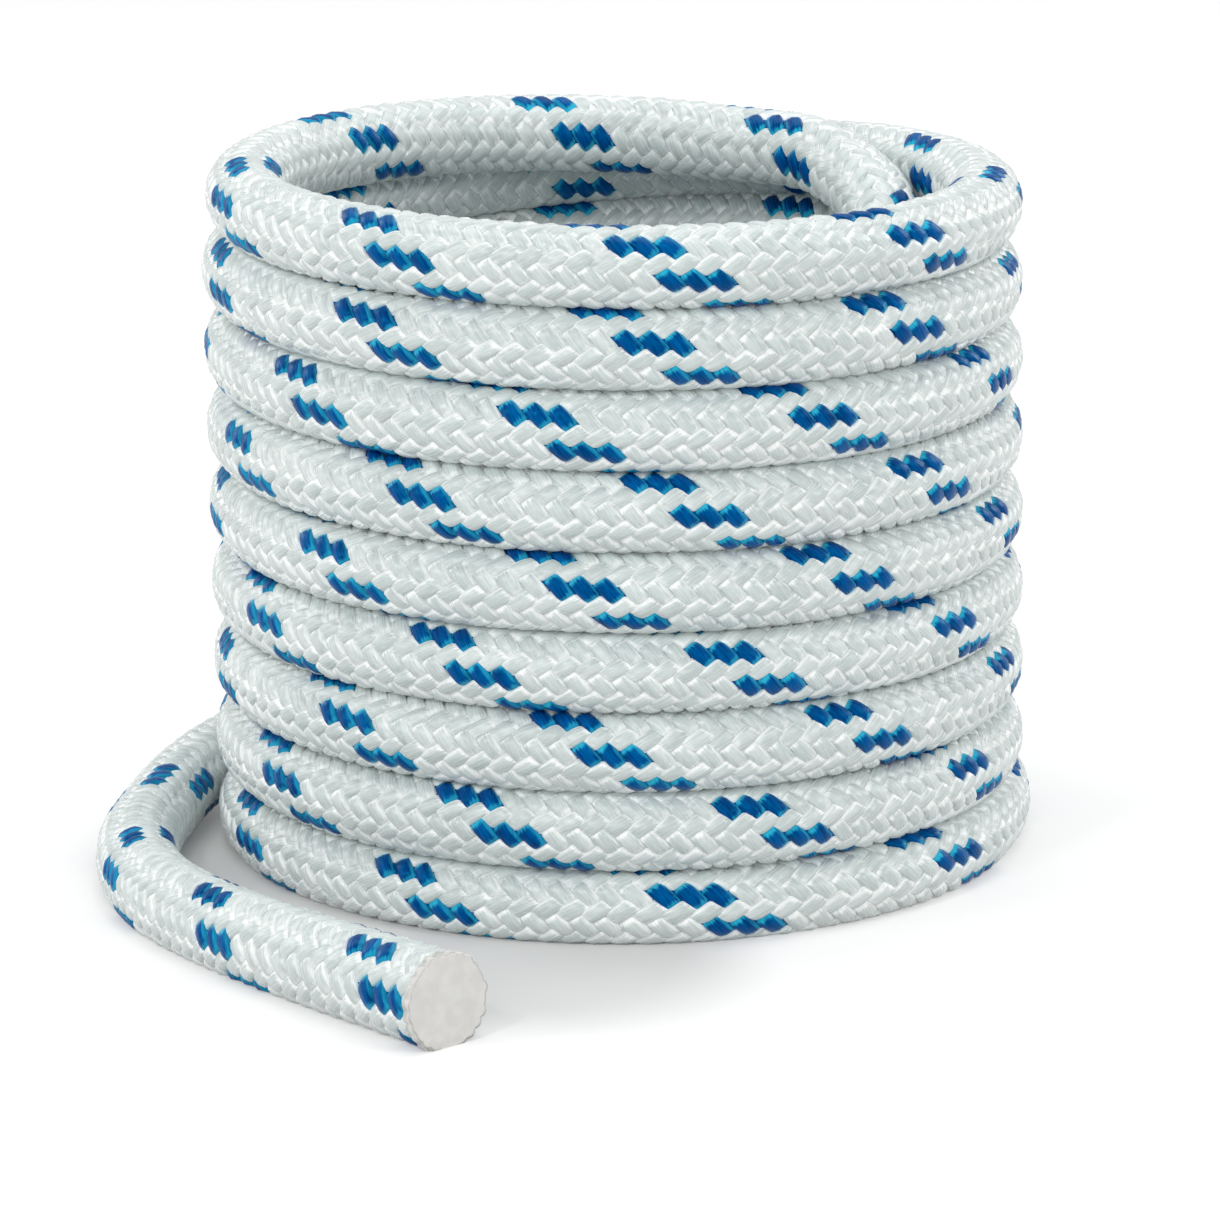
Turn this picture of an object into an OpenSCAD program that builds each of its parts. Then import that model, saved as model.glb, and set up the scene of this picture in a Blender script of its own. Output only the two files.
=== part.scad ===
// A kernmantle rope wound into a standing coil. One end is tucked down inside the
// coil and the other lies on the ground beside it. Both ends are cut and fused.
// Millimetres, +Z up. The rope rests on Z = 0, and the origin is under the middle
// of the box that the rope takes up.

/* [Rope] */
// Outer diameter of the rope
rope_d = 10; // [9:0.1:11]
// Wall of the braided sheath, with its flats pressed against the core
sheath_wall = 1.3; // [0.9:0.1:1.8]
// Free space between the sheath's bore and the core
core_clearance = 0.15; // [0.1:0.05:0.4]

/* [Coil] */
// Radius of the coil to the middle of the rope
coil_radius = 49.6; // [46:0.1:56]
// Rows of rope in the coil's wall
rows = 9; // [8:1:12]
// Free space between neighbouring rows
row_gap = 0.45; // [0.42:0.01:1.2]
// Share of its drop that the top row makes along the front, the rest being behind
front_drop = 0.18; // [0:0.01:0.25]
// How far the coil's top leans to the left of its foot
lean = 1.5; // [0:0.1:3]

/* [Ends] */
// How much thicker the rope is where the free tail is cut
tail_swell = 1.2; // [1:0.01:1.25]
// Length of the fused plug on each cut end
fused_length = 2.2; // [1.5:0.1:4]
// How far the fused plug stands out round the sheath
fused_lip = 0.3; // [0.1:0.1:0.6]
// Rounding of the fused plug's edge
fused_round = 1; // [0.4:0.1:1.2]

/* [Hidden] */
white = [0.93, 0.94, 0.95];
core_white = [0.97, 0.97, 0.94];
fused_grey = [0.86, 0.85, 0.83];

// Where the coil's axis stands, measured from the origin
coil_at = [6.1, 16.1];

// Where the rope rests, it is pressed flat by a tenth of its diameter
rest_z = rope_d / 2 - rope_d / 10;
pitch = rope_d + row_gap;
bore_r = rope_d / 2 - sheath_wall;
core_r = bore_r - core_clearance;

// The coil runs from its tucked-in top end to the exit of the free tail.
// Azimuths are in degrees, from +X towards +Y; each row starts at 180.
turn = 360;
half_turn = 180;
coil_start = 60;
exit_azimuth = 165;
coil_end = rows * turn + exit_azimuth;
coil_step = 15;
coil_sides = 6;

// The end of one turn passes beside the next over three quarters of half a turn,
// which begins a little before the azimuth where the rows change over.
pass_lead = 0.15;
pass_span = 0.75;
// How far the top end sinks over half a turn, and its extra distance from the wall
tuck_drop = 4.5;
tuck_in = 1.6;

free_sides = 10;

// Free tail, as offsets from the coil's lower end. It rises as it thickens, so that
// its fused end stands on its own rim.
tail_route = [
    [-2, -11, 0], [-3.5, -22, 0], [-3.5, -33, 0], [-1.5, -44, 0], [3, -54.5, 0],
    [9.5, -64.5, 0.1], [16.5, -73.5, 0.4], [23.5, -82, 0.8], [30.5, -90, 1.2],
    [37.9, -98.5, 1.6],
];
// Tucked end: where it dives, as offsets from the coil's upper end
dive_route = [
    [5.5, -7, -2], [9, -15.5, -5], [9.5, -24.5, -9.5], [9.5, -32.5, -16], [9.5, -37.5, -25],
    [9.5, -39, -35],
];
// Tucked end: where it stands in the coil and lies on the ground, from the coil's
// axis in plan and from the resting height
ground_route = [
    [37, -10, 39], [36.5, -10.5, 28], [34, -11.5, 16.5], [27.5, -14.5, 6.5], [18, -19, 1],
    [8.5, -23, 0], [-2, -24.5, 0], [-12.5, -21, 0], [-20.5, -13, 0], [-25, -3, 0],
    [-25.5, 7, 0],
];

function unit(v) = v / norm(v);
function ease(x) = let (t = min(1, max(0, x))) t * t * (3 - 2 * t);

// Height of the coil above its resting row, in pitches: each row falls by a share
// of one pitch along its front and by the rest, in an even curve, behind.
function front_share(k) = front_drop * k / (rows - 1);
function behind(k, t) =
    (k + front_share(k)) * (2 * pow(t, 3) - 3 * pow(t, 2) + 1)
    + front_share(k) * (pow(t, 3) - 2 * pow(t, 2) + t)
    + (k + 1) * (3 * pow(t, 2) - 2 * pow(t, 3))
    + front_share(k + 1) * (pow(t, 3) - pow(t, 2));
function rise(a) =
    let (m = rows - a / turn, k = floor(m), s = m - k)
    m <= 0.5 ? 0
        : s < 0.5 ? k + front_share(k) * 2 * s
        : behind(k, 2 * s - 1);
function tucked(t) = front_share(rows - 1) * t * pitch - tuck_drop * pow(t, 2);
function coil_z(a) = rest_z + (a < half_turn
    ? pitch * (rows - 1 + front_share(rows - 1)) + tucked(1 - a / half_turn)
    : pitch * rise(a));

// The top end passes inside the row below it, and the bottom end outside the row
// above it.
function pass(t) = ease((t + pass_lead) / pass_span);
function coil_r(a) =
    coil_radius
    - (pitch + tuck_in) * pass(1 - a / half_turn)
    + pitch * pass((a - rows * turn) / half_turn);
function lean_x(z) = lean * (0.5 - z / (rows * pitch));
function coil_point(a) = [
    coil_at.x + lean_x(coil_z(a)) + coil_r(a) * cos(a),
    coil_at.y + coil_r(a) * sin(a),
    coil_z(a),
];
function coil_heading(a) = unit(coil_point(a + 0.5) - coil_point(a - 0.5));

// The coil's ends run straight for one rope diameter
upper_end = coil_point(coil_start) - rope_d * coil_heading(coil_start);
lower_end = coil_point(coil_end) + rope_d * coil_heading(coil_end);
coil_path = [
    upper_end,
    for (a = [coil_start : coil_step : coil_end]) coil_point(a),
    lower_end,
];
tail_path = [lower_end, for (p = tail_route) lower_end + p];
inner_path = [
    upper_end,
    for (p = dive_route) upper_end + p,
    for (p = ground_route) [coil_at.x + p.x, coil_at.y + p.y, rest_z + p.z],
];

// Headings at a path's points; the first is given where the path leaves the coil
function headings(path, first) = [
    for (i = [0 : len(path) - 1])
        i == 0 ? first
            : unit(path[min(i + 1, len(path) - 1)] - path[i - 1])
];
coil_headings = headings(coil_path, coil_heading(coil_start));
tail_headings = headings(tail_path, coil_heading(coil_end));
inner_headings = headings(inner_path, -coil_heading(coil_start));

// Directions across a path: level ones for the stretches that lie flat, and ones
// carried along without twist for the end that stands upright
function level(t) = unit(cross(t, [0, 0, 1]));
function carried(dirs) = [
    for (i = 0, s = level(dirs[0]);
        i < len(dirs);
        i = i + 1, s = i < len(dirs) ? unit(s - (s * dirs[i]) * dirs[i]) : s) s
];
coil_across = [for (t = coil_headings) level(t)];
tail_across = [for (t = tail_headings) level(t)];
inner_across = carried(inner_headings);

// One ring of a tube, pressed flat where it would pass below the ground
function ring(p, t, s, r, sides) = [
    for (j = [0 : sides - 1])
        let (w = turn * j / sides, q = p + r * (cos(w) * s + sin(w) * cross(s, t)))
        [q.x, q.y, max(0, q.z)]
];
function rings(path, dirs, across, r, sides, swell) =
    let (n = len(path) - 1)
    [
        for (i = [0 : n])
            each ring(path[i], dirs[i], across[i], r * (1 + (swell - 1) * i / n), sides)
    ];

// Triangles between neighbouring rings, and over a tube's ends
function skin(base, count, sides) = [
    for (i = [0 : count - 2], j = [0 : sides - 1])
        let (a = base + i * sides + j, b = base + i * sides + (j + 1) % sides)
        each [[a, b, b + sides], [a, b + sides, a + sides]]
];
function lid(base, sides) = [for (j = [1 : sides - 2]) [base, base + j + 1, base + j]];
function flipped(faces) = [for (f = faces) [f[2], f[1], f[0]]];
function washer(outer, inner, sides) = [
    for (j = [0 : sides - 1])
        let (k = (j + 1) % sides)
        each [[outer + j, inner + j, inner + k], [outer + j, inner + k, outer + k]]
];

module cord(path, dirs, across, r, sides, swell = 1) {
    count = len(path);
    points = rings(path, dirs, across, r, sides, swell);
    last = (count - 1) * sides;
    polyhedron(points, concat(skin(0, count, sides), lid(0, sides), flipped(lid(last, sides))));
}

module hollow_cord(path, dirs, across, r, bore, sides, swell = 1) {
    count = len(path);
    total = count * sides;
    last = total - sides;
    points = concat(
        rings(path, dirs, across, r, sides, swell),
        rings(path, dirs, across, bore, sides, swell)
    );
    polyhedron(points, concat(
        skin(0, count, sides),
        flipped(skin(total, count, sides)),
        washer(0, total, sides),
        flipped(washer(last, total + last, sides))
    ));
}

// A melted and pressed plug over the sheath and the core of a cut end
module fused_plug(at, heading, r) {
    plug_r = r + fused_lip;
    difference() {
        translate(at)
            rotate([0, 90, atan2(heading.y, heading.x)])
            rotate_extrude($fn = 48)
            polygon([
                [0, 0],
                [plug_r, 0],
                [plug_r, fused_length - fused_round],
                for (w = [15 : 15 : 75])
                    [
                        plug_r - fused_round * (1 - cos(w)),
                        fused_length - fused_round * (1 - sin(w)),
                    ],
                [plug_r - fused_round, fused_length],
                [0, fused_length],
            ]);
        translate([at.x - 2 * rope_d, at.y - 2 * rope_d, -rope_d])
            cube([4 * rope_d, 4 * rope_d, rope_d]);
    }
}

module coil_sheath() {
    color(white)
        hollow_cord(coil_path, coil_headings, coil_across, rope_d / 2, bore_r, coil_sides);
}

module coil_core() {
    color(core_white)
        cord(coil_path, coil_headings, coil_across, core_r, coil_sides);
}

module tail_sheath() {
    color(white)
        hollow_cord(
            tail_path, tail_headings, tail_across, rope_d / 2, bore_r, free_sides, tail_swell
        );
}

module tail_core() {
    color(core_white)
        cord(tail_path, tail_headings, tail_across, core_r, free_sides, tail_swell);
}

module tail_fused_end() {
    n = len(tail_path) - 1;
    color(fused_grey)
        fused_plug(tail_path[n], tail_headings[n], tail_swell * rope_d / 2);
}

module inner_end_sheath() {
    color(white)
        hollow_cord(inner_path, inner_headings, inner_across, rope_d / 2, bore_r, free_sides);
}

module inner_end_core() {
    color(core_white)
        cord(inner_path, inner_headings, inner_across, core_r, free_sides);
}

module inner_fused_end() {
    n = len(inner_path) - 1;
    color(fused_grey)
        fused_plug(inner_path[n], inner_headings[n], rope_d / 2);
}

// Free space between the coil's turns, measured on the middle points of all rings
// that lie at least half a turn apart along the rope
far = half_turn / coil_step;
clear_gap = min([
    for (i = [0 : len(coil_path) - far - 1], j = [i + far : len(coil_path) - 1])
        norm(coil_path[i] - coil_path[j])
]) - rope_d;
echo(least_gap_in_coil = clear_gap);

coil_sheath();
coil_core();
tail_sheath();
tail_core();
tail_fused_end();
inner_end_sheath();
inner_end_core();
inner_fused_end();
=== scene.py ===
import math

import bpy
import numpy as np
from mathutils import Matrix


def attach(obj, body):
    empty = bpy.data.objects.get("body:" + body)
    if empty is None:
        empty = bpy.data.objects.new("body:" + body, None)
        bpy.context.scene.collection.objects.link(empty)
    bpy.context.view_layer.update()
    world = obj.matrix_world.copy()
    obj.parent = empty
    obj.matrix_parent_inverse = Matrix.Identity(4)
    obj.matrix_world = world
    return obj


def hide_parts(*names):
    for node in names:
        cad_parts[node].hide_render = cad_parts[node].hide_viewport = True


# Lengths are in metres and angles in degrees unless a line says otherwise.
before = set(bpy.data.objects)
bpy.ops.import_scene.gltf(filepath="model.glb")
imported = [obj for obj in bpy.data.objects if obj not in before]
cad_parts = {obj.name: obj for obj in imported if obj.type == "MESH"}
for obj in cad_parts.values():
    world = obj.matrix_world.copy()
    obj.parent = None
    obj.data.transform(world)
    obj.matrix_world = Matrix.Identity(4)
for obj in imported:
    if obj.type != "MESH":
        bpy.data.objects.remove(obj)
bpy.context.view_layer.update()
print("frame loaded:", ", ".join(sorted(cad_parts)))

camera = {
    "place": (0.0053, -0.8339, 0.2534),
    "pitchDown": 14.68,
    "lens": 191.2,  # millimetres, as the sensor's width is
    "sensor": 36.0,
    "near": 0.05,
    "far": 20.0,
}


def makeCamera():
    data = bpy.data.cameras.new("camera")
    data.lens, data.sensor_width = camera["lens"], camera["sensor"]
    data.clip_start, data.clip_end = camera["near"], camera["far"]
    cam = bpy.data.objects.new("camera", data)
    cam.location = camera["place"]
    cam.rotation_euler = (math.radians(90 - camera["pitchDown"]), 0, 0)
    bpy.context.scene.collection.objects.link(cam)
    bpy.context.scene.camera = cam


makeCamera()
print("camera placed")

rope = {
    "diameter": 0.010,
    "coilAt": (0.0061, 0.0161),  # the coil's axis on the ground
    "coilRadius": 0.0496,  # from the axis to the rope's centre line
    "rows": 9,
    "pitch": 0.01045,  # height from row to row
    "rest": 0.004,  # height of the lowest row's centre line
    "frontDrop": 0.18,  # share of the pitch that the top row sinks across the front
    "lean": 0.0015,  # how far the stack leans sideways
    "start": 60,  # azimuth at which the coil begins, at the top
    "exit": 165,  # azimuth at which it lets the tail go, after the last turn
    "step": 15,
    "passLead": 0.15,
    "passSpan": 0.75,
    "tuckDrop": 0.0045,
    "tuckIn": 0.0016,
    "tailSwell": 1.2,  # how much thicker the rope is where the tail is cut
    "tail": [  # from the coil's lower end
        (-0.002, -0.011, 0), (-0.0035, -0.022, 0), (-0.0035, -0.033, 0), (-0.0015, -0.044, 0),
        (0.003, -0.0545, 0), (0.0095, -0.0645, 0.0001), (0.0165, -0.0735, 0.0004),
        (0.0235, -0.082, 0.0008), (0.0305, -0.090, 0.0012), (0.0379, -0.0985, 0.0016),
    ],
    "dive": [  # down inside the coil, from its upper end
        (0.0055, -0.007, -0.002), (0.009, -0.0155, -0.005), (0.0095, -0.0245, -0.0095),
        (0.0095, -0.0325, -0.016), (0.0095, -0.0375, -0.025), (0.0095, -0.039, -0.035),
    ],
    "ground": [  # inside the coil, from its axis and the lowest row's height
        (0.037, -0.010, 0.039), (0.0365, -0.0105, 0.028), (0.034, -0.0115, 0.0165),
        (0.0275, -0.0145, 0.0065), (0.018, -0.019, 0.001), (0.0085, -0.023, 0),
        (-0.002, -0.0245, 0), (-0.0125, -0.021, 0), (-0.0205, -0.013, 0),
        (-0.025, -0.003, 0), (-0.0255, 0.007, 0),
    ],
}


def ease(x):  # 0 below 0, 1 above 1, and 3t^2 - 2t^3 between
    t = np.clip(x, 0, 1)
    return t * t * (3 - 2 * t)


def frontShare(k):
    return rope["frontDrop"] * k / (rope["rows"] - 1)


def rise(azimuth):
    # Rows above the lowest one: a slow climb of frontShare over the front half of
    # each turn, and a cubic through both heights and both slopes over the back half.
    turns = rope["rows"] - azimuth / 360
    k = np.floor(turns)
    front = k + frontShare(k) * 2 * (turns - k)
    t = 2 * (turns - k) - 1
    back = (
        (k + frontShare(k)) * (2 * t**3 - 3 * t**2 + 1)
        + frontShare(k) * (t**3 - 2 * t**2 + t)
        + (k + 1) * (3 * t**2 - 2 * t**3)
        + frontShare(k + 1) * (t**3 - t**2)
    )
    return np.where(turns <= 0.5, 0, np.where(turns - k < 0.5, front, back))


def coilPoints(azimuth):
    # Points on the coil: a circle of coilRadius that passes inwards at the top end and
    # outwards at the lower end, at the height of rise(), on a stack that leans a little.
    top = rope["rows"] - 1 + frontShare(rope["rows"] - 1)
    tuck = 1 - azimuth / 180
    tucked = frontShare(rope["rows"] - 1) * tuck * rope["pitch"] - rope["tuckDrop"] * tuck**2
    height = rope["rest"] + np.where(
        azimuth < 180, rope["pitch"] * top + tucked, rope["pitch"] * rise(azimuth)
    )
    inwards = ease((tuck + rope["passLead"]) / rope["passSpan"])
    late = (azimuth - 360 * rope["rows"]) / 180
    outwards = ease((late + rope["passLead"]) / rope["passSpan"])
    radius = (
        rope["coilRadius"]
        - (rope["pitch"] + rope["tuckIn"]) * inwards
        + rope["pitch"] * outwards
    )
    leaning = rope["lean"] * (0.5 - height / (rope["rows"] * rope["pitch"]))
    turn = np.radians(azimuth)
    return np.stack(
        [
            rope["coilAt"][0] + leaning + radius * np.cos(turn),
            rope["coilAt"][1] + radius * np.sin(turn),
            height,
        ],
        -1,
    )


def headingAt(azimuth):
    ahead = coilPoints(np.array([azimuth - 0.5, azimuth + 0.5]))
    return (ahead[1] - ahead[0]) / np.linalg.norm(ahead[1] - ahead[0])


def routePoints():
    # The whole route, from the end inside the coil to the end of the tail, and the
    # number of the point at which the coil begins.
    last = 360 * rope["rows"] + rope["exit"]
    turns = np.arange(rope["start"], last + 1, rope["step"]).astype(float)
    coil = coilPoints(turns)
    upper = coil[0] - rope["diameter"] * headingAt(rope["start"])
    lower = coil[-1] + rope["diameter"] * headingAt(last)
    axis = np.array([*rope["coilAt"], rope["rest"]])
    inner = np.vstack([upper, upper + np.array(rope["dive"]), axis + np.array(rope["ground"])])
    tail = np.vstack([lower, lower + np.array(rope["tail"])])
    return np.vstack([inner[::-1], coil, tail]), len(inner)


def splineThrough(points, step):
    # A cubic spline with free ends, its parameter the chord length. The second
    # derivatives m solve h0 m0 + 2 (h0 + h1) m1 + h1 m2 = 6 (slope1 - slope0).
    gaps = np.linalg.norm(np.diff(points, axis=0), axis=1)
    knots = np.r_[0, np.cumsum(gaps)]
    inner = np.arange(1, len(points) - 1)
    system = np.eye(len(points))
    system[inner, inner - 1] = gaps[:-1]
    system[inner, inner] = 2 * (gaps[:-1] + gaps[1:])
    system[inner, inner + 1] = gaps[1:]
    right = np.zeros_like(points)
    right[1:-1] = 6 * np.diff(np.diff(points, axis=0) / gaps[:, None], axis=0)
    m = np.linalg.solve(system, right)
    at = np.linspace(0, knots[-1], int(knots[-1] / step) + 1)
    k = np.clip(np.searchsorted(knots, at, side="right") - 1, 0, len(gaps) - 1)
    h, done = gaps[k][:, None], (at - knots[k])[:, None]
    left = h - done
    line = (
        (m[k] * left**3 + m[k + 1] * done**3) / (6 * h)
        + (points[k] / h - m[k] * h / 6) * left
        + (points[k + 1] / h - m[k + 1] * h / 6) * done
    )
    length = np.r_[0, np.cumsum(np.linalg.norm(np.diff(line, axis=0), axis=1))]
    return line, length, np.interp(knots, at, length)


def unit(v):
    return v / np.linalg.norm(v, axis=-1, keepdims=True)


class Centreline:
    # The rope's centre line with an outward and an upward direction across it. Along
    # the coil and the tail the outward one is level; inside the coil it is carried without
    # twist, because the rope stands on end there. Past both ends it runs on straight.

    def __init__(self, spare=0.012, step=0.00025, smoothed=25):
        points, self.coilPoint = routePoints()
        line, length, self.knots = splineThrough(points, step)
        self.total = length[-1]
        self.coilBegins = self.knots[self.coilPoint]
        self.tailBegins = self.knots[-1 - len(rope["tail"])]
        ahead = unit(line[-1] - line[-2])
        behind = unit(line[0] - line[1])
        self.line = np.vstack([line[0] + behind * spare, line, line[-1] + ahead * spare])
        self.length = np.r_[-spare, length, self.total + spare]
        tangent = unit(np.gradient(self.line, self.length, axis=0))
        out = unit(np.cross(tangent, [0, 0, 1]))
        up = np.cross(out, tangent)
        spin = np.arctan2((out[1:] * up[:-1]).sum(1), (out[1:] * out[:-1]).sum(1))
        spin = np.r_[0, np.cumsum(spin)]
        turn = np.interp(self.coilBegins, self.length, spin) - spin
        turn = np.where(self.length < self.coilBegins, turn, 0)[:, None]
        self.tangent = tangent
        self.out = out * np.cos(turn) + up * np.sin(turn)
        self.up = up * np.cos(turn) - out * np.sin(turn)
        bend = np.gradient(tangent, self.length, axis=0)
        mean = np.ones(smoothed) / smoothed
        self.bendOut = np.convolve((bend * self.out).sum(1), mean, "same")
        self.bendUp = np.convolve((bend * self.up).sum(1), mean, "same")

    def at(self, s, what):
        table = getattr(self, what)
        if table.ndim == 1:
            return np.interp(s, self.length, table)
        return np.stack([np.interp(s, self.length, table[:, k]) for k in range(3)], -1)

    def swell(self, s):
        share = np.clip((s - self.tailBegins) / (self.total - self.tailBegins), 0, 1)
        return 1 + (rope["tailSwell"] - 1) * share


centre = Centreline()
print(f"route laid: {centre.total:.3f} m of rope")


def shellPoints(s, angle, radius):
    # Points at a radius and an angle round the centre line at length s, the angle from
    # the outward direction towards the upward one. Nothing goes below the ground.
    out, up = unit(centre.at(s, "out")), unit(centre.at(s, "up"))
    c, n = np.cos(angle)[..., None], np.sin(angle)[..., None]
    points = centre.at(s, "line") + radius[..., None] * (c * out + n * up)
    points[..., 2] = np.maximum(points[..., 2], 0)
    return points


def node(tree, kind, values=None, **settings):
    # One node, its settings, and its inputs: a plain value or the output that feeds it.
    made = tree.nodes.new(kind)
    for name, value in settings.items():
        setattr(made, name, value)
    for name, value in (values or {}).items():
        if isinstance(value, bpy.types.NodeSocket):
            tree.links.new(value, made.inputs[name])
        else:
            made.inputs[name].default_value = value
    return made


def maths(tree, operation, *values):
    return node(tree, "ShaderNodeMath", dict(enumerate(values)), operation=operation).outputs[0]


def ramp(tree, value, low, high, top=1.0):
    # 0 up to low, then smoothly up to top at high.
    limits = {"Value": value, "From Min": low, "From Max": high, "To Max": top}
    return node(tree, "ShaderNodeMapRange", limits, interpolation_type="SMOOTHSTEP").outputs["Result"]


def blendColours(tree, share, first, second):
    made = node(tree, "ShaderNodeMix", data_type="RGBA")
    for name, value in (("Factor", share), ("A", first), ("B", second)):
        sockets = [s for s in made.inputs if s.name == name and s.enabled]
        if isinstance(value, bpy.types.NodeSocket):
            tree.links.new(value, sockets[0])
        else:
            sockets[0].default_value = value if name == "Factor" else (*value, 1)
    return [s for s in made.outputs if s.name == "Result" and s.enabled][0]


def newGroup(name, inputs, outputs):
    tree = bpy.data.node_groups.new(name, "ShaderNodeTree")
    for label, default in inputs.items():
        socket = tree.interface.new_socket(label, in_out="INPUT", socket_type="NodeSocketFloat")
        socket.default_value = default
    for label in outputs:
        tree.interface.new_socket(label, in_out="OUTPUT", socket_type="NodeSocketFloat")
    return tree, tree.nodes.new("NodeGroupInput").outputs, tree.nodes.new("NodeGroupOutput").inputs


def newMaterial(name):
    mat = bpy.data.materials.new(name)
    mat.use_nodes = True
    return mat, mat.node_tree, mat.node_tree.nodes["Principled BSDF"]


filament = {
    "inputs": {  # the group's own values, of which each yarn sets the first three
        "Bundle width": 0.0002, "Bundle length": 0.0015, "Twist": 0.2, "Finer": 3.0, "Broader": 0.2,
    },
    "detail": 1.0,
    "roughness": 0.5,
    "fineShare": 0.3,  # of the height that single filaments make
    "toneFrom": (0.34, 0.66),  # heights between which the tone rises
    "patchFrom": (0.3, 0.7),
}


def filamentGroup():
    # Bundles of filaments that run along a strand, a little askew as twisted yarn does:
    # noise on (across + twist * along) / width and along / length, in two sizes, and a
    # broad one that sets one float a little off from the next.
    tree, given, made = newGroup("strandFilaments", filament["inputs"], ("Tone", "Height", "Patch"))
    where = node(tree, "ShaderNodeUVMap", uv_map="strandMap")
    parts = node(tree, "ShaderNodeSeparateXYZ", {0: where.outputs["UV"]})
    across, along = parts.outputs["X"], parts.outputs["Y"]
    skewed = maths(tree, "MULTIPLY_ADD", along, given["Twist"], across)
    bundleAt = node(tree, "ShaderNodeCombineXYZ", {
        "X": maths(tree, "DIVIDE", skewed, given["Bundle width"]),
        "Y": maths(tree, "DIVIDE", along, given["Bundle length"]),
    })
    bundle, fine, broad = (
        node(tree, "ShaderNodeTexNoise", {
            "Vector": bundleAt.outputs[0], "Scale": scale,
            "Detail": filament["detail"], "Roughness": filament["roughness"],
        }).outputs["Fac"]
        for scale in (1.0, given["Finer"], given["Broader"])
    )
    share = filament["fineShare"]
    height = maths(tree, "MULTIPLY_ADD", fine, share, maths(tree, "MULTIPLY", bundle, 1 - share))
    tree.links.new(ramp(tree, height, *filament["toneFrom"]), made["Tone"])
    tree.links.new(height, made["Height"])
    tree.links.new(ramp(tree, broad, *filament["patchFrom"]), made["Patch"])
    return tree


def floatGroup():
    # Where a point lies on its float: 1 at the upper end, at the lower end and along the
    # upper side, each fading towards the middle. The map's 0 to 1 is read as -1 to 1.
    # The strand materials paint their highlights there, the upper side for light from above.
    fade = {"Begin": 0.25, "Full": 0.95}
    tree, given, made = newGroup("floatPlace", fade, ("Upper end", "Lower end", "Upper side"))
    where = node(tree, "ShaderNodeUVMap", uv_map="floatMap")
    parts = node(tree, "ShaderNodeSeparateXYZ", {0: where.outputs["UV"]})
    across = maths(tree, "MULTIPLY_ADD", parts.outputs["X"], 2.0, -1.0)
    along = maths(tree, "MULTIPLY_ADD", parts.outputs["Y"], 2.0, -1.0)
    backwards = maths(tree, "MULTIPLY", along, -1.0)
    for label, value in (("Upper end", backwards), ("Lower end", along), ("Upper side", across)):
        tree.links.new(ramp(tree, value, given["Begin"], given["Full"]), made[label])
    return tree


whiteStrand = {
    "shade": (0.48, 0.55, 0.54),
    "light": (0.66, 0.73, 0.715),
    "ends": (0.96, 0.98, 0.97),  # painted highlight: the glint on a float's ends and upper side
    "endShare": (1.0, 0.5, 0.6),  # of the painted highlight at the upper end, the lower end and the upper side
    "streaks": 0.7,  # how much further in the painted highlight reaches along bright filaments
    "patches": 0.6,  # how much of the body's tone is broad, not in streaks
    "roughness": (0.18, 0.34),
    "width": 0.00026,  # of a bundle of filaments
    "length": 0.0026,
    "twist": 0.1,
    "bump": 1.0,
    "bumpDepth": 0.00012,
    "specular": 0.8,
    "specularTint": (1.0, 1.0, 1.0),
    "sheen": 0.4,
    "sheenTint": (1.0, 1.0, 1.0),
}
blueStrand = {
    "shade": (0.0, 0.024, 0.14),
    "light": (0.0, 0.095, 0.34),
    # Painted highlight: the ends colour is a cyan glint on a float's ends and upper side.
    "ends": (0.03, 0.45, 0.65),
    "endShare": (1.0, 0.6, 0.5),
    "streaks": 0.7,
    "patches": 0.5,
    "roughness": (0.2, 0.38),
    "width": 0.00026,
    "length": 0.0026,
    "twist": 0.1,
    "bump": 1.0,
    "bumpDepth": 0.00009,
    "specular": 0.35,
    "specularTint": (0.0, 0.7, 1.0),
    "sheen": 0.0,
    "sheenTint": (0.0, 0.8, 1.0),
}


def strandMaterial(name, look, filaments, place):
    mat, tree, shader = newMaterial(name)
    yarn = node(tree, "ShaderNodeGroup", node_tree=filaments)
    for label, key in (("Bundle width", "width"), ("Bundle length", "length"), ("Twist", "twist")):
        yarn.inputs[label].default_value = look[key]
    glintPlace = node(tree, "ShaderNodeGroup", node_tree=place)
    tone = yarn.outputs["Tone"]
    body = maths(tree, "MULTIPLY_ADD", yarn.outputs["Patch"], look["patches"],
                 maths(tree, "MULTIPLY", tone, 1 - look["patches"]))
    colour = blendColours(tree, body, look["shade"], look["light"])
    for label, share in zip(("Upper end", "Lower end", "Upper side"), look["endShare"]):
        # Painted highlight: the ends colour goes on at both ends and the upper side as glints from
        # light above. Bright filaments reach further in from the end than dull ones.
        reach = maths(tree, "MULTIPLY_ADD", body, look["streaks"], glintPlace.outputs[label])
        paintedGlint = ramp(tree, reach, look["streaks"], 1 + look["streaks"] / 2, share)
        colour = blendColours(tree, paintedGlint, colour, look["ends"])
    tree.links.new(colour, shader.inputs["Base Color"])
    low, high = look["roughness"]
    rough = node(tree, "ShaderNodeMapRange", {"Value": tone, "To Min": low, "To Max": high})
    tree.links.new(rough.outputs["Result"], shader.inputs["Roughness"])
    bump = node(tree, "ShaderNodeBump", {
        "Strength": look["bump"], "Distance": look["bumpDepth"], "Height": yarn.outputs["Height"],
    })
    tree.links.new(bump.outputs["Normal"], shader.inputs["Normal"])
    shader.inputs["Specular IOR Level"].default_value = look["specular"]
    shader.inputs["Specular Tint"].default_value = (*look["specularTint"], 1)
    shader.inputs["Sheen Weight"].default_value = look["sheen"]
    shader.inputs["Sheen Tint"].default_value = (*look["sheenTint"], 1)
    return mat


filaments, floatPlace = filamentGroup(), floatGroup()
white = strandMaterial("whiteYarn", whiteStrand, filaments, floatPlace)
blue = strandMaterial("blueYarn", blueStrand, filaments, floatPlace)
print("yarn materials made")

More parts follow.
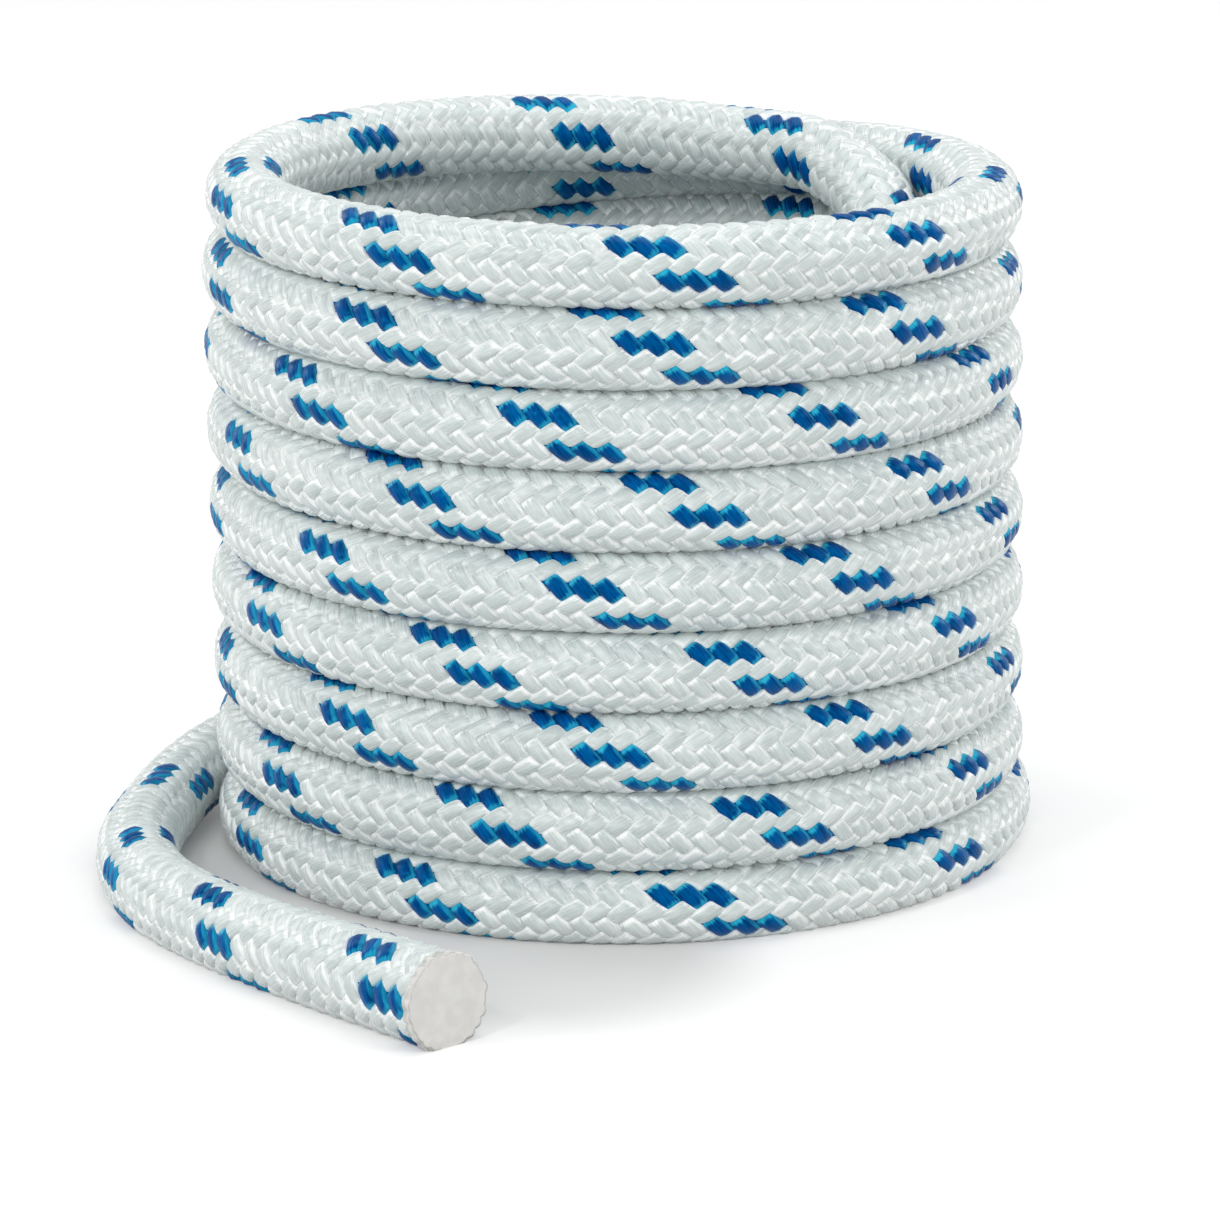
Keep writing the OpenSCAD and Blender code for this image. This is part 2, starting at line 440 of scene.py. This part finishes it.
# The braid: twelve strands run each way round the rope, two over and two under. Strand i
# of the one set and strand j of the other cross at (i + j) / 2 pitches along the rope and
# (i - j) * crossingAngle round it. Each float, where a strand lies over two others, is a
# closed shape of its own, whose ends dive under its neighbours.
braid = {
    "strands": 12,
    "blueStrands": (0, 1, 2),  # of the first set
    "crownRadius": 0.00526,
    "halfWidth": 0.60,  # of a float, in strands
    "halfLength": 1.06,
    "lean": (0.17, 0.0),  # how far the floats of the two sets lean off the lattice
    "tilt": (0.1, 0.04),  # the same for their width
    "cutsAcross": (-1, -0.93, -0.7, 0, 0.7, 0.93, 1),  # where the mesh divides a float
    "cutsAlong": (-1, -0.9, -0.72, -0.4, 0, 0.4, 0.72, 0.9, 1),
    "thickness": 0.00076,  # from a float's crown down to its edge
    "sideRound": 2.5,  # the power by which a float rounds off across
    "endRound": 4.6,  # and along
    "endShare": 1.1,  # of the thickness that the ends go down
    "uneven": (0.00003, 0.02, 0.03),  # of height, in metres, then of place and of lean
    "bedDepth": 0.00066,  # down to the strands that pass under
    "bedSides": 24,
    "squeeze": 0.065,  # how much a row of the coil swells towards its neighbours
    "squeezeOver": 0.02,  # length over which that comes and goes
    "strandWidth": 0.00187,  # between neighbours of one set
    "strandLength": 0.0019,  # along a strand from one crossing to the next
    "yarnShifts": (0.0137, 0.5),  # of the yarn's pattern, from strand to strand and set to set
    "sharpAngle": 60,
    "seed": 11,
    # The lay: the strand number at the outer side of the rope, and the angle of
    # a column of floats, at the front of each row from the top, then along the tail.
    "strandAtFront": (-1.9, 106.6, 219.1, 333.0, 445.8, 559.0, 673.1, 785.8, 897.15),
    "columnAtFront": (-11, -157, -331, -473, -645, -792, -954, -1086, -1220),
    "strandSway": 0.28,  # strands that the lay is ahead by before each front, and behind by after
    "strandOnTail": ((0.021, 985), (0.046, 997), (0.075, 1009.35), (0.110, 1021.45)),
    "columnOnTail": (-1352, -1360, -1373, -1375),
    "strandsPerMetre": 360.5,  # before the first front and after the tail's last place
    "twistPerMetre": -490.0,  # before the first front
    "tableSpare": 0.02,  # how far the lay is known past the centre line's own ends
    "endSpare": 0.0017,  # how far the sheath runs past the ends of the core
}
crossingAngle = 180 / braid["strands"]


def runOn(s, places, values, rate):
    # A table's value at s, which goes on at a plain rate past either end.
    inside = np.clip(s, places[0], places[-1])
    return np.interp(inside, places, values) + (s - inside) * rate


def layTable():
    # Pitches and twist along the rope, from the listed lay: a strand number i at the
    # outer side and a column angle c give the twist c - crossingAngle / 2 and the pitches
    # i + twist / (2 crossingAngle). The sway comes in a quarter turn either side of a front.
    frontPoint = centre.coilPoint + round((270 - rope["start"]) / rope["step"])
    perTurn = round(360 / rope["step"])
    fronts = [centre.knots[frontPoint + perTurn * k] for k in range(rope["rows"])]
    places = fronts + [centre.tailBegins + s for s, _ in braid["strandOnTail"]]
    strands = list(braid["strandAtFront"]) + [i for _, i in braid["strandOnTail"]]
    columns = list(braid["columnAtFront"]) + list(braid["columnOnTail"])
    strandRate, twistRate = braid["strandsPerMetre"], braid["twistPerMetre"]
    quarter = (fronts[1] - fronts[0]) / 4
    for front in fronts:
        for side in (-1, 1):
            s = front + side * quarter
            k = int(np.searchsorted(places, s))
            strand = runOn(s, places, strands, strandRate) - side * braid["strandSway"]
            column = runOn(s, places, columns, twistRate)
            for table, value in ((places, s), (strands, strand), (columns, column)):
                table.insert(k, value)
    first = centre.length[0] - braid["tableSpare"]
    last = centre.length[-1] + braid["tableSpare"]
    strands = [runOn(first, places, strands, strandRate), *strands,
               runOn(last, places, strands, strandRate)]
    columns = [runOn(first, places, columns, twistRate), *columns, columns[-1]]
    twist = np.array(columns) - crossingAngle / 2
    pitches = np.array(strands) + twist / (2 * crossingAngle)
    return np.array([first, *places, last]), pitches, twist


layPlaces, layPitches, layTwists = layTable()


def ropePlace(u, v):
    # Length along the rope and angle round it, in radians, of a place on the lattice.
    # Where the rope bends, the weave draws together on the outer side and opens on the
    # inner one: angle + radius * curvature * sine.
    s = np.interp((u + v) / 2, layPitches, layPlaces)
    angle = np.radians((u - v) * crossingAngle + np.interp(s, layPlaces, layTwists))
    draw = braid["crownRadius"] * (
        centre.at(s, "bendOut") * np.sin(angle) - centre.at(s, "bendUp") * np.cos(angle)
    )
    return s, angle + draw


def sheathRadius(s, angle, depth):
    # The crown radius less the depth, swollen towards the tail's end. A row of the coil
    # presses against the rows above and below it: 1 + squeeze * sine squared.
    start, end = centre.coilBegins, centre.tailBegins
    turn, over = (end - start) / rope["rows"], braid["squeezeOver"]
    rowAbove = ease((s - start - turn) / over) * (1 - ease((s - end) / over))
    rowBelow = ease((s - start) / over) * (1 - ease((s - end + turn + over) / over))
    upwards = np.sin(angle)
    pressed = np.where(upwards > 0, rowAbove, rowBelow) * upwards ** 2
    return (braid["crownRadius"] * (1 + braid["squeeze"] * pressed) - depth) * centre.swell(s)


def isBlue(strand):
    return np.isin(strand % braid["strands"], braid["blueStrands"])


def floatGrid():
    # Places across and along a float, and its depth there: its sides fall as a rounded
    # edge, 1 - (1 - |a|^n)^(1/n), and its length falls as an arch, |b|^n.
    a, b = np.meshgrid(braid["cutsAcross"], braid["cutsAlong"], indexing="ij")
    n = braid["sideRound"]
    side = 1 - (1 - np.abs(a) ** n) ** (1 / n)
    arch = braid["endShare"] * np.abs(b) ** braid["endRound"]
    return a.ravel(), b.ravel(), (braid["thickness"] * (side + arch)).ravel()


def floatFaces():
    # Corner numbers of one closed float: the crown's quads, quads from side to side
    # under it, and a fan of triangles at either end.
    wide, long = len(braid["cutsAcross"]) - 1, len(braid["cutsAlong"]) - 1
    g = np.arange((wide + 1) * (long + 1)).reshape(wide + 1, long + 1)
    crown = np.stack([g[:-1, :-1], g[:-1, 1:], g[1:, 1:], g[1:, :-1]], -1).reshape(-1, 4)
    under = np.stack([g[0, :-1], g[-1, :-1], g[-1, 1:], g[0, 1:]], -1)
    k = np.arange(1, wide)
    first = np.stack([np.full(k.shape, g[0, 0]), g[k, 0], g[k + 1, 0]], -1)
    last = np.stack([np.full(k.shape, g[0, -1]), g[k + 1, -1], g[k, -1]], -1)
    return crown, under, np.vstack([first, last])


def floatCentres(first, last):
    # The floats between two whole pitches: centre on the lattice, strand, and which set.
    # Strand i of the first set lies over i - 4c - 1 and i - 4c of the second, and strand
    # j of the second over j + 4c + 2 and j + 4c + 3 of the first.
    k = np.tile(np.arange(last - first), braid["strands"] // 2)
    c = np.repeat(np.arange(braid["strands"] // 2), last - first)
    i, j = first + 2 * c + 1 + k, first - 2 * c - 1 + k
    return (
        np.r_[i, j + 4 * c + 2.5], np.r_[i - 4 * c - 0.5, j],
        np.r_[i, j], np.repeat([True, False], len(i)),
    )


def tubeFaces(rows, columns):
    # Quads between neighbouring rings, each ring closed on itself, and fans at both ends
    # on two extra points that follow the rings' own. All face outwards where the rings run
    # along the rope.
    g = np.arange(rows * columns).reshape(rows, columns)
    after = np.roll(g, -1, axis=1)
    quads = np.stack([g[:-1], g[1:], after[1:], after[:-1]], -1).reshape(-1, 4)
    first = np.stack([g[0], after[0], np.full(columns, g.size)], -1)
    last = np.stack([after[-1], g[-1], np.full(columns, g.size + 1)], -1)
    return quads, np.vstack([first, last])


def newMesh(name, points, quads, triangles):
    # A smooth mesh of these faces, the quads first.
    mesh = bpy.data.meshes.new(name)
    mesh.vertices.add(len(points))
    mesh.vertices.foreach_set("co", points.astype(np.float32).ravel())
    corners = np.concatenate([quads.ravel(), triangles.ravel()]).astype(np.int32)
    sizes = np.r_[np.full(len(quads), 4), np.full(len(triangles), 3)]
    mesh.loops.add(len(corners))
    mesh.loops.foreach_set("vertex_index", corners)
    mesh.polygons.add(len(sizes))
    mesh.polygons.foreach_set("loop_start", np.r_[0, np.cumsum(sizes)[:-1]].astype(np.int32))
    mesh.update(calc_edges=True)
    mesh.polygons.foreach_set("use_smooth", np.ones(len(sizes), bool))
    return mesh


def cornerNumbers(mesh):
    corners = np.empty(len(mesh.loops), np.int32)
    mesh.loops.foreach_get("vertex_index", corners)
    return corners


def addMap(mesh, name, places):
    layer = mesh.uv_layers.new(name=name, do_init=False)
    layer.uv.foreach_set("vector", places.astype(np.float32).ravel())


def addPiece(name, mesh, slot, *nodes):
    piece = bpy.data.objects.new(name, mesh)
    bpy.context.scene.collection.objects.link(piece)
    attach(piece, "root")
    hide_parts(*nodes)
    return piece


def bed(first, last, limits):
    # The strands that pass under, as a closed tube with two rings a pitch, and which of its
    # quads are blue.
    rings, sides = np.arange(2 * (last - first) + 1) / 2 + first, braid["bedSides"]
    pitch, side = np.meshgrid(rings, np.arange(sides), indexing="ij")
    s, angle = ropePlace(pitch + side / 2, pitch - side / 2)
    s = np.clip(s, *limits)
    points = shellPoints(s, angle, sheathRadius(s, angle, braid["bedDepth"])).reshape(-1, 3)
    quads, caps = tubeFaces(*pitch.shape)
    strand = np.round(pitch[:-1] + side[:-1] / 2 + 0.5).astype(int).ravel()
    ends = [ring.mean(0) for ring in (points[:sides], points[-sides:])]
    return np.vstack([points, ends]), quads, caps, isBlue(strand)


bakeMap = {
    "crowding": 1.7,  # how many more floats stand side by side than above each other
    "fill": 0.42,  # half of a float's share of its rectangle
    "strip": 0.04,  # left free for the bed
    "bedAt": 0.01,
}


def bakePlaces(count, a, b):
    # Each float's own rectangle on the bake map, in even rows above a strip for the bed.
    columns = math.ceil(math.sqrt(count * bakeMap["crowding"]))
    rows = math.ceil(count / columns)
    number, fill, strip = np.arange(count)[:, None], bakeMap["fill"], bakeMap["strip"]
    x = (number % columns + 0.5 + fill * a[None]) / columns
    y = strip + (1 - strip) * (number // columns + 0.5 + fill * b[None]) / rows
    return np.stack([x, y], -1)


def sheathPiece(name, first, last, cadNode, limits):
    # The floats between two whole pitches, on the bed of strands that pass under.
    rng = np.random.default_rng(abs(braid["seed"] + first))
    u0, v0, strand, one = floatCentres(first, last)
    a, b, depth = floatGrid()
    crown, under, fans = floatFaces()
    kept = np.abs(ropePlace(u0, v0)[0] - np.mean(limits)) < np.ptp(limits) / 2
    u0, v0, strand, one = u0[kept], v0[kept], strand[kept], one[kept]
    count = len(u0)
    up, aside, turned = (rng.normal(0, size, (count, 1)) for size in braid["uneven"])
    lean, tilt = (np.where(one, *braid[key])[:, None] for key in ("lean", "tilt"))
    across, along = braid["halfWidth"] * a + aside, braid["halfLength"] * b
    off, on = across - (lean + turned) * along, along - tilt * across
    u = u0[:, None] + np.where(one[:, None], off, on)
    v = v0[:, None] + np.where(one[:, None], on, -off)
    s, angle = ropePlace(u, v)
    radius = sheathRadius(s, angle, depth - up)
    points = shellPoints(np.clip(s, *limits), angle, radius).reshape(-1, 3)
    shift = (np.arange(count) * len(a))[:, None, None]
    quads = np.vstack([(crown + shift).reshape(-1, 4), (under + shift).reshape(-1, 4)])
    triangles = (fans + shift).reshape(-1, 3)
    base = len(points)
    bedPoints, bedQuads, bedCaps, bedBlue = bed(first, last, limits)
    mesh = newMesh(
        name, np.vstack([points, bedPoints]),
        np.vstack([quads, bedQuads + base]), np.vstack([triangles, bedCaps + base]),
    )
    for mat in (white, blue):
        mesh.materials.append(mat)
    isBlueFloat = isBlue(strand) & one
    blueFaces = np.r_[
        np.repeat(isBlueFloat, len(crown)), np.repeat(isBlueFloat, len(under)), bedBlue,
        np.repeat(isBlueFloat, len(fans)), np.zeros(len(bedCaps), bool),
    ]
    mesh.polygons.foreach_set("material_index", blueFaces.astype(np.int32))
    mesh.set_sharp_from_angle(angle=math.radians(braid["sharpAngle"]))
    # Maps: metres across and along each strand, place on the float, and the bake map.
    corners = cornerNumbers(mesh)
    fromStrand, fromSet = braid["yarnShifts"]
    shifted = strand * fromStrand + np.where(one, 0, fromSet)
    strandX = across * braid["strandWidth"] + shifted[:, None]
    strandY = (np.where(one, v0, u0)[:, None] + along) * braid["strandLength"]
    yarn = np.stack([strandX, strandY], -1).reshape(-1, 2)
    spare = np.zeros((len(bedPoints), 2))
    addMap(mesh, "strandMap", np.vstack([yarn, spare])[corners])
    upwards = np.where(one, 1, -1)[:, None] * b
    place = np.stack(np.broadcast_arrays(a, upwards), -1).reshape(-1, 2) / 2 + 0.5
    addMap(mesh, "floatMap", np.vstack([place, spare + 0.5])[corners])
    bake = bakePlaces(count, a, b).reshape(-1, 2)[corners[: crown.size * count]]
    onBed = np.full((len(corners) - len(bake), 2), bakeMap["bedAt"])
    addMap(mesh, "OFBake", np.vstack([bake, onBed]))
    return addPiece(name, mesh, "rope_sheath", cadNode)


def pitchAt(s):
    return int(round(float(np.interp(s, layPlaces, layPitches))))


cuts = np.linspace(centre.coilBegins, centre.tailBegins, rope["rows"] + 1)
names = ["innerSheath", *(f"coilSheath{k + 1}" for k in range(rope["rows"])), "tailSheath"]
nodes = ["inner_end_sheath", *["coil_sheath"] * rope["rows"], "tail_sheath"]
limits = (-braid["endSpare"], centre.total + braid["endSpare"])
pitches = [pitchAt(limits[0]) - 1, *(pitchAt(s) for s in cuts), pitchAt(limits[1]) + 1]
sheath = [
    sheathPiece(name, a, b, cad, limits)
    for name, a, b, cad in zip(names, pitches[:-1], pitches[1:], nodes)
]
print("sheath braided:", sum(len(p.data.polygons) for p in sheath), "faces")

core = {
    "radius": 0.0042,
    "sides": 16,
    "spacing": 0.003,
    "shade": (0.66, 0.66, 0.63),
    "light": (0.80, 0.80, 0.77),
    "grain": 4000.0,
    "roughness": 0.6,
}


def coreMaterial():
    mat, tree, shader = newMaterial("coreYarn")
    shader.inputs["Roughness"].default_value = core["roughness"]
    where = node(tree, "ShaderNodeTexCoord")
    grain = node(
        tree, "ShaderNodeTexNoise", {"Vector": where.outputs["Object"], "Scale": core["grain"]})
    colour = blendColours(tree, grain.outputs["Fac"], core["shade"], core["light"])
    tree.links.new(colour, shader.inputs["Base Color"])
    return mat


def ropeCore():
    # The yarn core: rings round the centre line, closed on a point at each end.
    s = np.linspace(0, centre.total, int(centre.total / core["spacing"]) + 1)
    angle = np.arange(core["sides"]) * 2 * np.pi / core["sides"]
    along, around = np.meshgrid(s, angle, indexing="ij")
    points = shellPoints(along, around, core["radius"] * centre.swell(along)).reshape(-1, 3)
    quads, fans = tubeFaces(*along.shape)
    mesh = newMesh("ropeCore", np.vstack([points, centre.at(s[[0, -1]], "line")]), quads, fans)
    mesh.materials.append(coreMaterial())
    piece = addPiece("ropeCore", mesh, "rope_core", "coil_core", "tail_core", "inner_end_core")
    return piece, centre.at(s, "line")


kern, kernLine = ropeCore()
print("core laid")

# The two cut ends: the strands are melted together and pressed flat.
fused = {
    "radius": 0.00535,  # times the rope's swell there
    "thickness": 0.0021,  # from the end of the core to the face
    "edge": 0.00045,  # rounding of the rim
    "rimRings": 5,
    "middle": 0.0004,  # from the end of the core to the point inside the sheath
    "root": ((0.5, 0.0004), (0.9, 0.0005), (1, 0.0012)),  # rings there: share of the radius, height
    "faceRings": (0.96, 0.9, 0.82, 0.72, 0.6, 0.45, 0.3, 0.15),  # shares of the radius
    "sides": 192,
    "lobes": 24,  # one for each strand
    "lobeHeight": 0.0004,
    "lobeSizes": (0.2, 1.3),
    "lump": 0.00016,
    "waves": 5,
    "waveTurn": 7,  # radians, at most, from the middle to the rim along each axis
    "waveHeight": 0.33,
    "seed": 5,
    "shade": (0.645, 0.635, 0.61),
    "light": (0.70, 0.695, 0.67),
    "rim": (0.20, 0.20, 0.20),
    "rimBegins": 0.93,  # share of the radius at which the darker rim begins
    "rimShare": 0.5,
    "rimPatchFrom": (0.4, 0.62),  # cloud values between which the darker rim comes in
    "cloudFrom": (0.35, 0.65),
    "detail": 3.0,
    "grain": 450.0,
    "roughness": 0.42,
    "bumpDepth": 0.0001,
}


def fusedMaterial():
    # Cloudy pale melt, darker in patches along the rim.
    mat, tree, shader = newMaterial("fusedYarn")
    shader.inputs["Roughness"].default_value = fused["roughness"]
    where = node(tree, "ShaderNodeTexCoord")
    cloud = node(tree, "ShaderNodeTexNoise", {
        "Vector": where.outputs["Object"], "Scale": fused["grain"], "Detail": fused["detail"],
    }).outputs["Fac"]
    place = node(tree, "ShaderNodeUVMap", uv_map="faceMap")
    centred = {0: place.outputs["UV"], 1: (0.5, 0.5, 0)}
    offset = node(tree, "ShaderNodeVectorMath", centred, operation="SUBTRACT")
    reach = node(tree, "ShaderNodeVectorMath", {0: offset.outputs[0]}, operation="LENGTH")
    rim = ramp(tree, reach.outputs["Value"], fused["rimBegins"] / 2, 0.5, fused["rimShare"])
    rim = maths(tree, "MULTIPLY", rim, ramp(tree, cloud, *fused["rimPatchFrom"]))
    cloudy = ramp(tree, cloud, *fused["cloudFrom"])
    colour = blendColours(tree, cloudy, fused["shade"], fused["light"])
    tree.links.new(blendColours(tree, rim, colour, fused["rim"]), shader.inputs["Base Color"])
    bump = node(tree, "ShaderNodeBump", {"Distance": fused["bumpDepth"], "Height": cloud})
    tree.links.new(bump.outputs["Normal"], shader.inputs["Normal"])
    return mat


melt = fusedMaterial()


def fusedEnd(name, s, side, cadNode):
    # Rings from a point inside the sheath, out to the rim and in over the face to its
    # middle. The rim swells at each strand, radius + height * (size * |sine| - 0.5), and
    # the face is raised by a few slow waves.
    rng = np.random.default_rng(fused["seed"] + (side > 0))
    edge, thick, height = fused["edge"], fused["thickness"], fused["lobeHeight"]
    full = fused["radius"] * float(centre.swell(s))
    turn = np.radians(np.linspace(0, 90, fused["rimRings"], endpoint=False))
    rim = [(1 - edge / full * (1 - math.cos(w)), thick - edge * (1 - math.sin(w))) for w in turn]
    face = [(share, thick) for share in fused["faceRings"]]
    profile = np.array([*fused["root"], *rim, *face])
    angle = np.arange(fused["sides"]) * 2 * np.pi / fused["sides"]
    share, around = np.meshgrid(profile[:, 0], angle, indexing="ij")
    lobe = np.floor(angle / (2 * np.pi) * fused["lobes"]).astype(int)
    size = rng.uniform(*fused["lobeSizes"], fused["lobes"])[lobe]
    swollen = size * np.abs(np.sin(angle * fused["lobes"] / 2)) - 0.5
    reach = share * (full + height * swollen * np.clip(share * 2 - 1, 0, 1))
    x, y = reach * np.cos(around), reach * np.sin(around)
    most = fused["waveTurn"]
    waves = rng.uniform(-1, 1, (fused["waves"], 4))
    waves = waves * (most / full, most / full, most, fused["waveHeight"])
    lift = sum(high * np.sin(x * alongX + y * alongY + late) for alongX, alongY, late, high in waves)
    onFace = (profile[:, 1] >= thick - edge)[:, None]
    z = profile[:, 1][:, None] + fused["lump"] * onFace * lift
    line, out, up, ahead = (centre.at(s, what) for what in ("line", "out", "up", "tangent"))
    ahead = side * unit(ahead)
    points = line + x[..., None] * unit(out) + y[..., None] * unit(up) + z[..., None] * ahead
    middle = line + fused["middle"] * ahead
    points = np.vstack([points.reshape(-1, 3), middle, line + thick * ahead])
    points[:, 2] = np.maximum(points[:, 2], 0)
    quads, fans = tubeFaces(*share.shape)
    if side < 0:  # the rings run backwards along the rope
        quads, fans = quads[:, ::-1], fans[:, ::-1]
    mesh = newMesh(name, points, quads, fans)
    mesh.materials.append(melt)
    flat = np.stack([share * np.cos(around), share * np.sin(around)], -1).reshape(-1, 2) / 2 + 0.5
    addMap(mesh, "faceMap", np.vstack([flat, [(0.5, 0.5)] * 2])[cornerNumbers(mesh)])
    return addPiece(name, mesh, "fused_end", cadNode)


ends = [
    fusedEnd("tailFusedEnd", centre.total, 1, "tail_fused_end"),
    fusedEnd("innerFusedEnd", 0.0, -1, "inner_fused_end"),
]
print("ends fused")

centre.at(centre.total, "line")

floor = {
    "size": 6.0,
    "tone": 0.66,
    "roughness": 0.9,
    "lift": 0.03,  # glow that only the camera sees, between the coil and the tail
    "white": 0.31,  # the same away from there
    "fade": (0.026, 0.040),  # distances from the middle between which it rises
    "middle": (-0.020, -0.022),
    "turn": -56.5,
    "stretch": 1.67,  # of those distances along the turned first axis
}


def makeFloor():
    mesh = bpy.data.meshes.new("floor")
    h = floor["size"] / 2
    mesh.from_pydata([(-h, -h, 0), (h, -h, 0), (h, h, 0), (-h, h, 0)], [], [(0, 1, 2, 3)])
    mat, tree, shader = newMaterial("floor")
    shader.inputs["Base Color"].default_value = (*[floor["tone"]] * 3, 1)
    shader.inputs["Roughness"].default_value = floor["roughness"]
    shader.inputs["Specular IOR Level"].default_value = 0.0
    path = node(tree, "ShaderNodeLightPath").outputs
    seen = maths(tree, "MAXIMUM", path["Is Camera Ray"], path["Is Glossy Ray"])
    seen = maths(tree, "MAXIMUM", seen, path["Is Transmission Ray"])
    where = node(tree, "ShaderNodeTexCoord")
    centred = node(tree, "ShaderNodeMapping", {
        "Vector": where.outputs["Object"], "Location": (*floor["middle"], 0),
        "Rotation": (0, 0, math.radians(floor["turn"])), "Scale": (floor["stretch"], 1, 1),
    }, vector_type="TEXTURE")
    away = node(tree, "ShaderNodeVectorMath", {0: centred.outputs[0]}, operation="LENGTH")
    more = ramp(tree, away.outputs["Value"], *floor["fade"], floor["white"] - floor["lift"])
    strength = maths(tree, "MULTIPLY", seen, maths(tree, "ADD", more, floor["lift"]))
    glow = node(tree, "ShaderNodeEmission", {"Strength": strength})
    both = node(tree, "ShaderNodeAddShader", {0: shader.outputs[0], 1: glow.outputs[0]})
    tree.links.new(both.outputs[0], tree.nodes["Material Output"].inputs["Surface"])
    mesh.materials.append(mat)
    plane = bpy.data.objects.new("floor", mesh)
    bpy.context.scene.collection.objects.link(plane)


makeFloor()

world = {"light": 0.62, "white": 1.0}  # on the rope, and seen by the camera


def makeWorld():
    scene = bpy.context.scene
    scene.world = scene.world or bpy.data.worlds.new("world")
    scene.world.use_nodes = True
    tree = scene.world.node_tree
    tree.nodes.clear()
    path = node(tree, "ShaderNodeLightPath").outputs
    seen = maths(tree, "MAXIMUM", path["Is Camera Ray"], path["Is Transmission Ray"])
    soft = node(tree, "ShaderNodeBackground", {"Color": (1, 1, 1, 1), "Strength": world["light"]})
    plain = node(tree, "ShaderNodeBackground", {"Color": (1, 1, 1, 1), "Strength": world["white"]})
    pick = node(tree, "ShaderNodeMixShader", {0: seen, 1: soft.outputs[0], 2: plain.outputs[0]})
    out = tree.nodes.new("ShaderNodeOutputWorld")
    tree.links.new(pick.outputs[0], out.inputs["Surface"])


makeWorld()

lamps = {
    "above": {"place": (0.0, 0.25, 1.0), "size": 0.8, "power": 2.5},
    "front": {"place": (-0.05, -1.0, 0.46), "size": 0.5, "power": 1.5},
    "key": {"place": (-0.45, -0.7, 0.75), "size": 0.2, "power": 1.9},
    "left": {"place": (-0.9, -0.4, 0.45), "size": 0.35, "power": 1.5},
    "right": {"place": (0.8, -0.5, 0.6), "size": 0.3, "power": 1.9},
    "backLeft": {"place": (-0.8, 0.5, 0.5), "size": 0.5, "power": 1.8},
    "backRight": {"place": (0.8, 0.5, 0.5), "size": 0.5, "power": 2.6},
}
lampAim = (0, 0, 0.045)


def makeLamps():
    for name, lamp in lamps.items():
        data = bpy.data.lights.new(name, "AREA")
        data.shape, data.size, data.energy = "DISK", lamp["size"], lamp["power"]
        obj = bpy.data.objects.new(name, data)
        obj.location = lamp["place"]
        aim = np.array(lampAim) - np.array(lamp["place"])
        yaw = math.atan2(aim[1], aim[0])
        tilt = math.atan2(math.hypot(aim[0], aim[1]), -aim[2])
        obj.rotation_euler = (tilt, 0, yaw - math.pi / 2)
        bpy.context.scene.collection.objects.link(obj)


makeLamps()
bpy.context.scene.view_settings.view_transform = "Standard"
print("floor, world and lamps set")

bpy.context.view_layer.update()
